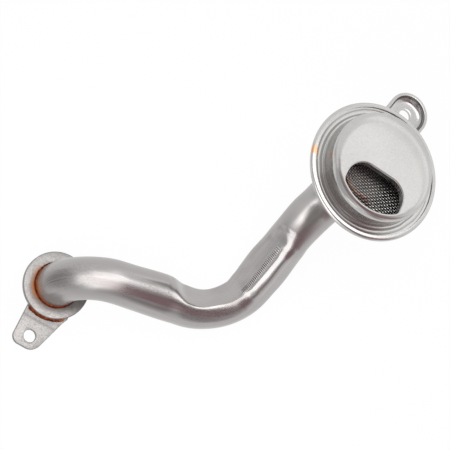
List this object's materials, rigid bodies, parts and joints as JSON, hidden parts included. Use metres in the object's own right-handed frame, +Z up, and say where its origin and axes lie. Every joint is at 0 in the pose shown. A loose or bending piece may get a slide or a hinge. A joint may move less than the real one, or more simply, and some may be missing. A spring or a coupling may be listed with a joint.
{
  "type": "oil pickup tube",
  "caption": "Bent steel oil pickup tube: an O-ring spigot with a bolt ear at one end, a round strainer with an inlet window over a woven screen and a dished bracket at the other.",
  "frame": {"origin": "middle of the bottom of the box of the part as it lies at rest, on the surface it lies on", "axes": "+X from the collar toward the strainer, the part's longest extent; +Z up from the surface it lies on, its shortest extent"},
  "size_m": [0.2106, 0.1308, 0.0691],
  "materials": {
    "tube_steel": "satin",
    "collar_steel": "satin",
    "pressed_steel": "satin",
    "screen_wire": "satin",
    "braze": "satin",
    "rubber": "matte"
  },
  "bodies": {
    "root": {"pickup_tube": "tube_steel", "flange_collar": "collar_steel", "o_ring": "rubber", "bolt_ear": "collar_steel", "collar_braze_ring": "braze", "ear_braze_seam": "braze", "strainer_shell": "pressed_steel", "strainer_cover": "pressed_steel", "screen": "screen_wire", "neck_braze_ring": "braze", "support_bracket": "pressed_steel", "bracket_braze_left": "braze", "bracket_braze_right": "braze"}
  },
  "joints": []
}
